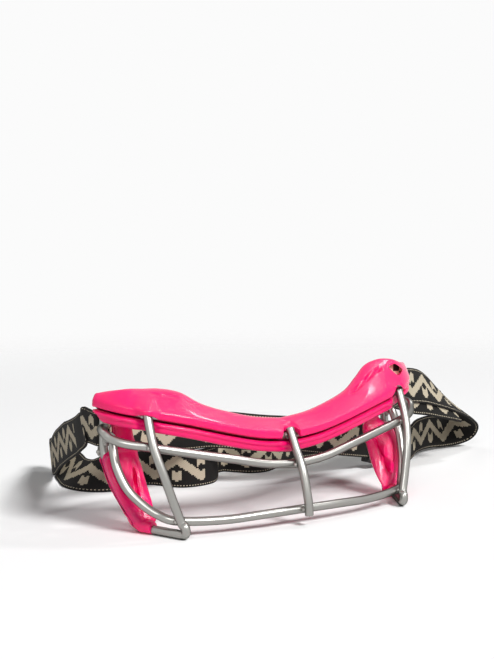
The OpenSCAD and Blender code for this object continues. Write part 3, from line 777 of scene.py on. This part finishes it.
# From the top down: the height, the inner edge's and the outer edge's place in and forward of the
# post, how far the pad holds the wire, and the share of the full thickness.
cheek_rows = [
    (47, 14.1, 0.2, 4.8, 0.4, 0, 0.45),
    (43.5, 14.5, 0.7, 4.8, 0.8, 0, 0.45),
    (40, 14.9, 1.4, 4.8, 1.4, 0, 0.5),
    (36, 15.4, 2.7, 4.6, 2.9, 0, 0.45),
    (33.6, 15.7, 3.9, 1.4, 5.0, 0.6, 0.62),
    (31, 15.8, 5.2, -1.3, 6.5, 1, 1),
    (28, 16.1, 6.7, -1.7, 8.8, 1, 1),
    (24, 16.3, 9, -1.3, 11.5, 1, 1),
    (20, 16.5, 11.3, -0.4, 13.6, 1, 1),
    (16, 16.7, 13.6, 0.6, 15.3, 1, 1),
    (13, 16.8, 15.6, 1.7, 16.2, 1, 0.92),
    (10.5, 16.7, 17.1, 2.4, 16.9, 1, 0.82),
    (8, 16.5, 19, 3.3, 17.6, 1, 0.74),
    (5.5, 16.2, 21, 4.6, 18.2, 1, 0.68),
]
wire_from = 7 * route_steps


def cheek_ring(z, in_x, in_y, out_x, out_y, hold, share):
    """A level section of the right cheek pad, round the rim wire where it holds it."""
    xi = half_span - in_x
    yi = post_y - in_y
    xo = half_span - out_x
    yo = post_y - out_y
    deep = cheek_t * share
    wire_at = at_h(rim_right[wire_from:], z)[:2]
    w = mix(np.array([xo - 0.8, yo + deep * 0.5]), wire_at, hold)
    r = mix(0.3, grip * 1.27, hold)
    ye = w[1] - max(0.6 * hold + 0.1, math.sqrt(max(r * r - (xo - w[0]) ** 2, 0)))
    # From the outer edge along the front face and round the inner edge
    points = [(xo, ye), (xo, min(yo + 0.5, ye - 0.4))]
    points += [(mix(xo, xi, f), mix(yo, yi, f) - 1.6 * f * (1 - f)) for f in (0.2, 0.5, 0.8)]
    points += [(xi + 0.2, yi + 0.7), (xi + 0.4, yi + deep * 0.3), (xi + 2.4, yi + deep * 0.72)]
    # Back along the rear face to the outer edge, then round the wire
    points += [(mix(xi, xo, f), mix(yi, yo, f) + deep) for f in (0.3, 0.7)]
    points += [(xo - 1, yo + deep - 0.4), (xo, yo + deep * 0.8), (xo, max(w[1] + 0.6 * hold + 0.1, yo + 1))]
    for a in np.radians(np.linspace(15, 345, 12)):
        points.append((w[0] + r * math.cos(a), w[1] + r * math.sin(a)))
    ring = even(soften(np.array(points)), cheek_points)
    return np.column_stack([ring, np.full(cheek_points, z)])


def foot_ring(lowest, z, share):
    """A level section of the rounded foot, which narrows from the pad's lowest full section."""
    middle = np.array([half_span - foot_in, cheek_tip[1] + foot_d, z])
    return mix(middle, np.column_stack([lowest[:, :2], np.full(cheek_points, z)]), share)


def slit_cutter(side, place, half_length, half_width, tilt):
    """An oval bar that reaches into the pad's front face, for one slit."""
    rings = []
    for reach in slit_reach:
        ring = []
        for a in np.linspace(0, math.tau, 24, endpoint=False):
            up = half_length * math.sin(a)
            ring.append((half_width * math.cos(a) + tilt * up, reach, up + reach * slit_lean))
        rings.append(np.asarray(place) + ring)
    return shell("slit_cutter", np.asarray(rings) * [side, 1, 1])


def raise_lip(item, side, place, half_length, half_width, tilt):
    """A low rounded lip all round where a slit will be cut."""
    mesh = item.data
    flat = np.zeros(len(mesh.vertices) * 3)
    mesh.vertices.foreach_get("co", flat)
    points = flat.reshape(-1, 3)
    out = np.array([vertex.normal for vertex in mesh.vertices])
    x, y, z = (((points - zero) * 1000 * [side, 1, 1]) - place).T
    up = z - y * slit_lean
    far = np.hypot((x - tilt * up) / half_width, up / half_length)
    points += out * (lip_rise * np.exp(-(((far - 1.55) / 0.4) ** 2)))[:, None]
    mesh.vertices.foreach_set("co", points.ravel())
    mesh.update()


def add_mesh(item, other):
    """Moves the other object's skin into this one."""
    working = bmesh.new()
    working.from_mesh(item.data)
    working.from_mesh(other.data)
    working.to_mesh(item.data)
    working.free()
    bpy.data.objects.remove(other)


def tip_sleeve():
    """The rounded end of the right pad that grips the cheek tip and the bar welded to it."""
    across = np.array([-tip_ahead[1], tip_ahead[0], 0])
    path = [(3, 3.7, 4.6), (2.5, 3.1, 3.8), (1.2, 1.5, 1.9)]
    past_tip = [(0, 1.15), (2.6, 1.15), (4, 0.95), (4.7, 0.75), (5, 0.35)]
    path += [(*(out * tip_ahead[:2]), up) for out, up in past_tip]
    sizes = [(2, 2.2), (2.9, 3.4), (3.3, 3.6), (3.6, 3.1), (3.5, 3.05), (3.2, 2.9), (2.9, 2.7), (2.4, 2.3)]
    angles = np.linspace(0, math.tau, 32, endpoint=False)
    rings = []
    for middle, (wide, high) in zip(path, sizes):
        level_part = np.outer(wide * np.cos(angles), across)
        rings.append(cheek_tip + middle + level_part + np.outer(high * np.sin(angles), [0, 0, 1]))
    return smooth(rings, 4)


cheek_control = [cheek_ring(*values) for values in cheek_rows]
foot_shape = [(4, 0.93), (2.6, 0.82), (1.3, 0.67), (0.4, 0.5), (0, 0.36)]
cheek_control += [foot_ring(cheek_control[-1], z, share) for z, share in foot_shape]
top_ring = cheek_control[0] + [0, 0, 0.9]
cheek_control = [mix(top_ring.mean(axis=0), top_ring, 0.7)] + cheek_control
cheek_rings = smooth(cheek_control, 8)
slits = [((68.6, -33, 24.2), 3.6, 1.15, -0.1), ((69.2, -38, 16.8), 3.4, 1.1, -0.1)]
for name, side in [("left", -1), ("right", 1)]:
    cheek = shell("cheek_cushion_" + name, cheek_rings * [side, 1, 1])
    for slit in slits:
        raise_lip(cheek, side, *slit)
    cutters = [slit_cutter(side, *slit) for slit in slits]
    combine(cheek, "DIFFERENCE", cutters)
    bake(cheek, silicone, cutters)
    add_mesh(cheek, shell("sleeve", tip_sleeve() * [side, 1, 1]))
    sharpen(cheek, 50)
    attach(cheek, "root")
    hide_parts("cheek_pad_" + name)

# The strap is one length of black elastic webbing, 19 mm wide, with a zigzag motif woven in. It is
# sewn round the right strap bar, turns round the left one and comes back through the slider.
strap_t = 1.5
strap_gap = 0.3
layer = strap_t + strap_gap
leg_off = wire_r + 0.4 + strap_t / 2
loop_mid = strap_low + strap_w / 2
loop_reach = 8
run_start = loop_reach + strap_gap
low_z = strap_w / 2
right_ahead = np.array([math.sin(math.radians(60)), math.cos(math.radians(60)), 0])
right_side = np.array([right_ahead[1], -right_ahead[0], 0])
left_ahead = np.array([0, 1.0, 0])
left_side = np.array([1.0, 0, 0])
right_bar = np.array([strap_bar_x, strap_bar_y, loop_mid])
left_bar = right_bar * [-1, 1, 1]
right_leg = right_bar + leg_off * right_side
left_leg_in = left_bar + leg_off * left_side
left_leg_out = left_bar - leg_off * left_side
stretch_from = np.array([128, 15.4, low_z + 0.4])
stretch_to = np.array([62, 5.3, low_z + 12.9])
stretch_dir = unit(stretch_from - stretch_to)
stretch_side = unit([-stretch_dir[1], stretch_dir[0], 0])
back_az = 112
lay_steps = 10
tail_end_x = 62
hem_l = 11
hem_off = layer + strap_t + 0.1
sewn_from = 17
sewn_to = 73
sewn_drop = 6.2
# Within this reach of the left strap bar, and this far to its side at most, the webbing's upper edge
# is drawn down by up to this much.
gather_reach = 46
gather_side = 30
gather_most = 3.2


def on_stretch(x, off=0.0):
    """A place on the straight stretch on which the slider runs."""
    share = (x - stretch_to[0]) / (stretch_from[0] - stretch_to[0])
    return mix(stretch_to, stretch_from, share) + off * stretch_side


def row(place, az, el=89.0):
    """A place on the strap's middle line, then the compass and the rise of its upper edge."""
    return [*place, az, el]


def rows(base, table):
    """Rows of the line from x, y, height above the base, compass and, unless it is upright, rise."""
    return [row((x, y, base + up), *lay) for x, y, up, *lay in table]


# The long run leaves the right strap bar, curls round at the far right, runs through the slider and
# crosses behind the guard to the left strap bar.
band_points = [
    row(right_leg + run_start * right_ahead, back_az),
    row(right_leg + (run_start + 5) * right_ahead, back_az),
]
band_points += rows(loop_mid, [
    (96.5, -10.4, 1, back_az, 88),
    (106, -5.5, 1.7, back_az, 85),
    (116, -1, 1.4, back_az, 80),
    (128, 3.5, -1, back_az, 69),
    (140, 8, -5.6, back_az, 57),
    (152, 13, -11, back_az, 44),
    (164, 19, -16.6, back_az, 34),
    (175, 25.5, -22, back_az, 27),
    (183, 31, -28, back_az, 22),
    (185, 35.5, -33, back_az, 30),
])
band_points += rows(low_z, [
    (180, 38.5, -0.4, back_az, 45),
    (171, 38, 0, back_az, 64),
    (161, 34.5, 1.4, back_az, 79),
    (151, 30, 2.2, back_az, 87),
    (140, 23.5, 2.2, back_az),
])
band_points += [row(on_stretch(x), back_az) for x in range(128, 61, -11)]
band_points += rows(low_z, [
    (50, 3.6, 15.2, 100),
    (38, 3.7, 16.6, 90),
    (27, 5.6, 17.8, 80),
    (17, 9.5, 19, 75),
    (9, 14, 19.8, 75),
    (0, 16.8, 20.4, 85),
    (-12, 16.4, 20.8, 100),
    (-26, 13.2, 22, 110),
    (-40, 10.2, 24.4, 110),
    (-52, 7, 28, 115),
    (-62, 3, 31.4, 130),
])
band_points += rows(loop_mid, [(-69, -1.6, -1.6, 150)])
band_points += [
    row(left_leg_in + (run_start + 3) * left_ahead + [0.4, 0, -0.1], 170),
    row(left_leg_in + run_start * left_ahead, 180),
]
band_line = smooth(band_points, lay_steps)
# The adjusting run leaves the left strap bar, curls round behind the left cheek, wanders along the
# ground to the right and turns back onto the stretch with the slider, where it is hemmed.
tail_points = [
    row(left_leg_out + run_start * left_ahead, 180),
    row(left_leg_out + (run_start + 4) * left_ahead + [0, 0, -0.2], 180),
]
tail_points += rows(loop_mid, [
    (-78.6, -3, -3, 180),
    (-77.8, 3.5, -6.2, 178, 88),
    (-76.4, 11, -9.2, 175, 86),
    (-73.8, 24, -13.8, 170, 86),
    (-70.3, 40, -19.4, 165, 86),
    (-66.3, 57, -25.6, 160, 86),
])
tail_points += rows(low_z, [
    (-62.4, 71.5, 3.4, 155, 86),
    (-59, 82.5, 1, 135, 85),
    (-55, 90.4, 0.1, 100, 84),
    (-50.2, 91.8, -0.1, 70, 80),
    (-50, 87.8, -0.6, 20, 72),
    (-53.4, 78.5, -1.2, 0, 61),
    (-55.2, 66.5, -2.5, 0, 47),
    (-57.2, 56, -2.8, 0, 44),
    (-55.8, 46.8, -2.6, 5, 46),
    (-51.2, 40, -1.6, 20, 55),
    (-44, 36.4, -0.5, 50, 66),
    (-35, 37, 0.15, 80, 78),
    (-27, 38.5, 0.1, 85, 88),
    (-21, 34.5, 0.1, 60),
    (-17, 27, 0.1, 60),
    (-10.5, 22, 0.1, 80),
    (-1, 21.6, 0.1, 90),
    (7.5, 25, 0.1, 110),
    (14, 33, 0.1, 130),
    (19, 42.5, 0.1, 120),
    (25, 45.5, 0.1, 80),
    (30.5, 40, 0.1, 50),
    (36, 34.5, 0.1, 60),
    (44, 33, 0.1, 90),
    (54, 38, 0.1, 110),
    (66, 47, 0.1, 115),
    (79, 53.5, 0.1, 105),
    (94, 55, 0.1, 90),
    (109, 53, 0.1, 80),
    (122, 46, 0.1, 65),
    (131, 36, 0.2, 30),
    (130.8, 25.5, 0.7, 80),
    (127, 18.6, 1, 100),
])
doubled = [(mix(121, tail_end_x, i / 6), layer + (0.4 if i == 0 else 0)) for i in range(7)]
doubled += [(tail_end_x - 0.75, (layer + hem_off) / 2)]
doubled += [(tail_end_x + off, hem_off) for off in (0, 4, hem_l)]
tail_points += [row(on_stretch(x, off), back_az) for x, off in doubled]
tail_line = smooth(tail_points, lay_steps)


def ribbon_frame(line):
    """Along a strap's line: the way to its upper edge and the way out of its face."""
    ahead = headings(line[:, :3])
    az = np.radians(line[:, 3])
    el = np.radians(line[:, 4])
    edge = np.column_stack([np.cos(az) * np.cos(el), np.sin(az) * np.cos(el), np.sin(el)])
    edge = unit(edge - np.sum(edge * ahead, axis=1, keepdims=True) * ahead)
    return edge, np.cross(ahead, edge)


def turn(bar, ahead, side, first, az):
    """The turn of the webbing round a strap bar, from one leg to the other."""
    angles = np.linspace(0, math.pi, 17)
    return [row(bar + leg_off * (first * math.cos(a) * side - math.sin(a) * ahead), az) for a in angles]


# The sewn end lies on the back of the outgoing run. Away from the bar it lies about 6 mm lower.
band_edge, band_face = ribbon_frame(band_line)
sewn_rows = []
for i in range(sewn_to, sewn_from - 1, -2):
    drop = sewn_drop * ramp(i, sewn_from, sewn_from + 30)
    place = band_line[i][:3] - (strap_t + 0.1) * band_face[i] - drop * band_edge[i]
    sewn_rows.append(row(place, band_line[i][3], band_line[i][4]))
fold = right_bar - leg_off * right_side
sewn_rows += [
    row(fold + (run_start + 2.6) * right_ahead + 0.5 * right_side, back_az),
    row(fold + run_start * right_ahead, back_az),
    row(fold + 4 * right_ahead, back_az),
]
sewn_rows += turn(right_bar, right_ahead, right_side, -1, back_az)
sewn_rows += [row(right_leg + 4 * right_ahead, back_az)]
left_rows = [row(left_leg_in + 4 * left_ahead, 180)]
left_rows += turn(left_bar, left_ahead, left_side, 1, 180)
left_rows += [row(left_leg_out + 4 * left_ahead, 180)]
strap_line = np.vstack([np.array(sewn_rows), band_line, np.array(left_rows), tail_line])
band_start = len(sewn_rows)
band_end = band_start + len(band_line)
tail_start = band_end + len(left_rows)
strap_edge, strap_face = ribbon_frame(strap_line)
strap_run = np.concatenate([[0], np.cumsum(np.linalg.norm(np.diff(strap_line[:, :3], axis=0), axis=1))])
across = np.sin(np.linspace(-math.pi / 2, math.pi / 2, 15))
thin = 1 - 0.45 * np.abs(across) ** 9
profile = np.array([(w, n) for w, n in zip(across, thin)] + [(w, -n) for w, n in zip(across[::-1], thin)])
gather = np.maximum(0, 1 - np.linalg.norm(strap_line[:, :2] - left_bar[:2], axis=1) / gather_reach)


def ribbon(name, first, last):
    """The strap's webbing between two places of its line, with its lay as a map."""
    rings = []
    lay = []
    for i in range(first, last + 1):
        near = abs(strap_line[i][0] - left_bar[0]) < gather_side
        shrink = gather_most * gather[i] ** 0.7 if near else 0
        half = (strap_w - shrink) / 2
        wave = 0.12 * noise.noise(Vector((strap_run[i] * 0.09, 3.3, 0)))
        middle = strap_line[i][:3] - strap_edge[i] * shrink / 2
        wide = profile[:, :1] * (half + wave) * strap_edge[i]
        rings.append(middle + wide + profile[:, 1:] * strap_t / 2 * strap_face[i])
        lay += [(strap_run[i], w * strap_w / 2) for w in profile[:, 0]]
    item = shell(name, rings)
    uv = item.data.uv_layers.new(name="lay")
    corner_of = np.zeros(len(item.data.loops), int)
    item.data.loops.foreach_get("vertex_index", corner_of)
    uv.data.foreach_set("uv", np.array(lay)[corner_of].ravel())
    sharpen(item, 60)
    item.data.materials.append(webbing)
    return item


# The woven motif's sizes, along the webbing and across it
weave_step = 0.8
motif_pitch = 26
motif_swing = 4.7
motif_half = 2.5
block_half = 2.4
block_from = 0.6
group_l = 112
group_share = 0.87
motif_edge = 7.4
dot_pitch = 1.5
dot_line = 8.5
dot_half = 0.22
rib_pitch = 0.95


def webbing_material():
    """Woven elastic: black with beige zigzags and blocks, a dotted edge line and a fine rib, with painted
    shade in the rib's hollows.
    """
    material, shader = plain_material("webbing", (0.01, 0.009, 0.008), 0.85)
    tree = material.node_tree
    link = tree.links.new

    def calc(operation, first, second=None):
        return math_node(tree, operation, first, second)

    lay = tree.nodes.new("ShaderNodeUVMap")
    lay.uv_map = "lay"
    split = tree.nodes.new("ShaderNodeSeparateXYZ")
    link(lay.outputs[0], split.inputs[0])
    along = split.outputs[0]
    over = split.outputs[1]
    out = calc("ABSOLUTE", over)
    coarse_s = calc("SNAP", along, weave_step)
    coarse_w = calc("SNAP", over, weave_step)
    turn_at = calc("FRACT", calc("DIVIDE", coarse_s, motif_pitch))
    swing_of = calc("ABSOLUTE", calc("SUBTRACT", calc("MULTIPLY", turn_at, 2), 1))
    swing_of = calc("SUBTRACT", calc("MULTIPLY", swing_of, 2), 1)
    middle = calc("MULTIPLY", swing_of, motif_swing)
    zigzag = calc("LESS_THAN", calc("ABSOLUTE", calc("SUBTRACT", coarse_w, middle)), motif_half)
    block = calc("LESS_THAN", calc("ABSOLUTE", calc("ADD", coarse_w, middle)), block_half)
    block = calc("MULTIPLY", block, calc("GREATER_THAN", calc("ABSOLUTE", swing_of), block_from))
    motif = calc("MAXIMUM", zigzag, block)
    group = calc("LESS_THAN", calc("FRACT", calc("DIVIDE", coarse_s, group_l)), group_share)
    motif = calc("MULTIPLY", motif, group)
    motif = calc("MULTIPLY", motif, calc("LESS_THAN", out, motif_edge))
    dash = calc("LESS_THAN", calc("FRACT", calc("DIVIDE", along, dot_pitch)), 0.5)
    line = calc("COMPARE", out, dot_line)
    line.node.inputs[2].default_value = dot_half
    dots = calc("MULTIPLY", dash, line)
    rib = calc("SINE", calc("MULTIPLY", over, math.tau / rib_pitch))
    pick = calc("SINE", calc("MULTIPLY", along, math.tau / weave_step))
    weave = calc("ADD", calc("MULTIPLY", calc("MULTIPLY", rib, pick), 0.5), 0.5)
    # The colour is darkened where the weave's relief is low: painted shade in its hollows.
    shade = node_of(tree, "ShaderNodeMapRange", From_Min=0.0, From_Max=1.0, To_Min=0.55, To_Max=1.0)
    link(weave, shade.inputs[0])
    beige = node_of(tree, "ShaderNodeMix")
    beige.data_type = "RGBA"
    beige.inputs[6].default_value = (0.012, 0.011, 0.01, 1)
    beige.inputs[7].default_value = (0.64, 0.56, 0.42, 1)
    link(calc("MAXIMUM", motif, dots), beige.inputs[0])
    dim = node_of(tree, "ShaderNodeMix")
    dim.data_type = "RGBA"
    dim.blend_type = "MULTIPLY"
    dim.inputs[0].default_value = 1
    link(beige.outputs[2], dim.inputs[6])
    link(shade.outputs[0], dim.inputs[7])
    link(dim.outputs[2], shader.inputs["Base Color"])
    shader.inputs["Specular IOR Level"].default_value = 0.2
    add_relief(material, shader, weave, 0.00018, 0.8)
    return material


webbing = webbing_material()
right_cut = band_start + 22
left_cut = band_end - 26
tail_cut = tail_start + 34
end_right = ribbon("strap_end_right", 0, right_cut)
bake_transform(end_right)
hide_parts("strap_loop_right")
long_run = ribbon("strap_run", right_cut, left_cut)
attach(long_run, "root")
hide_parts("strap_band")
end_left = ribbon("strap_end_left", left_cut, tail_cut)
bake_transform(end_left)
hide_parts("strap_loop_left")
back_run = ribbon("strap_back_run", tail_cut, len(strap_line) - 1)
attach(back_run, "root")
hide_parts("strap_tail")

# The slider is a moulded black ladder through which both layers of webbing pass: two end bars in
# front of them, one bar behind and two side rails.
slider_x = 104.5
slider_l = 14
slider_rail = 2.2
slider_t = 1.4
slider_half = slider_l / 2
slider_in = strap_w / 2 + strap_gap
slider_out = slider_in + slider_rail
front_n = -strap_t / 2 - strap_gap
rear_n = layer + strap_t / 2 + strap_gap
low_n = front_n - slider_t
high_n = rear_n + slider_t
stretch_up = np.cross(stretch_dir, stretch_side)
slider_at = on_stretch(slider_x)


def slider_box(name, low, high):
    """A box in the slider's own directions: along the webbing, off its face and across it."""
    rings = []
    for x in (low[0], high[0]):
        corners = [(low[1], low[2]), (high[1], low[2]), (high[1], high[2]), (low[1], high[2])]
        start = slider_at + x * stretch_dir
        rings.append([start + n * stretch_side + up * stretch_up for n, up in corners])
    return shell(name, rings)


slider = slider_box("slider_frame", (-slider_half, low_n, -slider_out), (slider_half, high_n, -slider_in))
others = [
    ((-slider_half, low_n, slider_in), (slider_half, high_n, slider_out)),
    ((-slider_half, low_n, -slider_out), (-slider_half + slider_rail, front_n, slider_out)),
    ((slider_half - slider_rail, low_n, -slider_out), (slider_half, front_n, slider_out)),
    ((-slider_rail / 2, rear_n, -slider_out), (slider_rail / 2, high_n, slider_out)),
]
joined = [slider_box("slider_part", low, high) for low, high in others]
combine(slider, "UNION", joined)
rounding = slider.modifiers.new("rounding", "BEVEL")
rounding.width = 0.0005
rounding.segments = 3
rounding.limit_method = "ANGLE"
moulded, moulded_shader = plain_material("moulded", (0.02, 0.02, 0.022), 0.42)
grain(moulded, moulded_shader, 1400, 2, 0.00006, 0.5)
bake(slider, moulded, joined)
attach(slider, "slider")
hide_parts("slider")

# The stitching holds the sewn end and the hem: rows of single stitches in waxed black thread, sunk
# into the webbing at both of their ends.
yarn, yarn_shader = plain_material("yarn", (0.03, 0.028, 0.027), 0.6)
yarn_twist = node_of(yarn.node_tree, "ShaderNodeTexWave", Scale=900.0)
add_relief(yarn, yarn_shader, yarn_twist.outputs[0], 0.00008, 0.6)
stitch_r = 0.26
stitch_pitch = 2.2
stitch_length = 1.7
stitches_across = 6
stitch_dip = 0.32
stitch_sides = 8


def stitches(name, node, places):
    """Rows of stitches across the webbing, each row at a place on its face."""
    vertices = []
    faces = []
    for place, edge, face in places:
        for k in range(stitches_across):
            middle = place + edge * (k - (stitches_across - 1) / 2) * stitch_pitch
            ends = np.linspace(-1, 1, 9)
            path = [middle + edge * e * stitch_length / 2 - face * stitch_dip * e**4 for e in ends]
            ahead = headings(path)
            start = len(vertices)
            for i, point in enumerate(path):
                other = np.cross(ahead[i], face)
                wide = stitch_r * (1 - 0.3 * abs(ends[i]) ** 3)
                for a in np.linspace(0, math.tau, stitch_sides, endpoint=False):
                    off = wide * (math.cos(a) * face + math.sin(a) * other)
                    vertices.append(metres(point + off).tolist())
            faces += skin(len(ends), stitch_sides, start)
    mesh = bpy.data.meshes.new(name)
    mesh.from_pydata(vertices, [], faces)
    mesh.polygons.foreach_set("use_smooth", [True] * len(faces))
    mesh.materials.append(yarn)
    item = placed(name, mesh)
    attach(item, "root")
    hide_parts(node)


thread_off = strap_t / 2 + 0.12
end_rows = [(band_line[i][:3] + thread_off * band_face[i], band_edge[i], band_face[i]) for i in (20, 70)]
stitches("end_stitches", "end_stitching", end_rows)
hem_places = (tail_end_x + 2, tail_end_x + hem_l - 2)
hem_rows = [(on_stretch(x, hem_off + thread_off), stretch_up, stretch_side) for x in hem_places]
stitches("hem_stitches", "hem_stitching", hem_rows)

# Colours are shown as they are.
bpy.context.scene.view_settings.view_transform = "Standard"
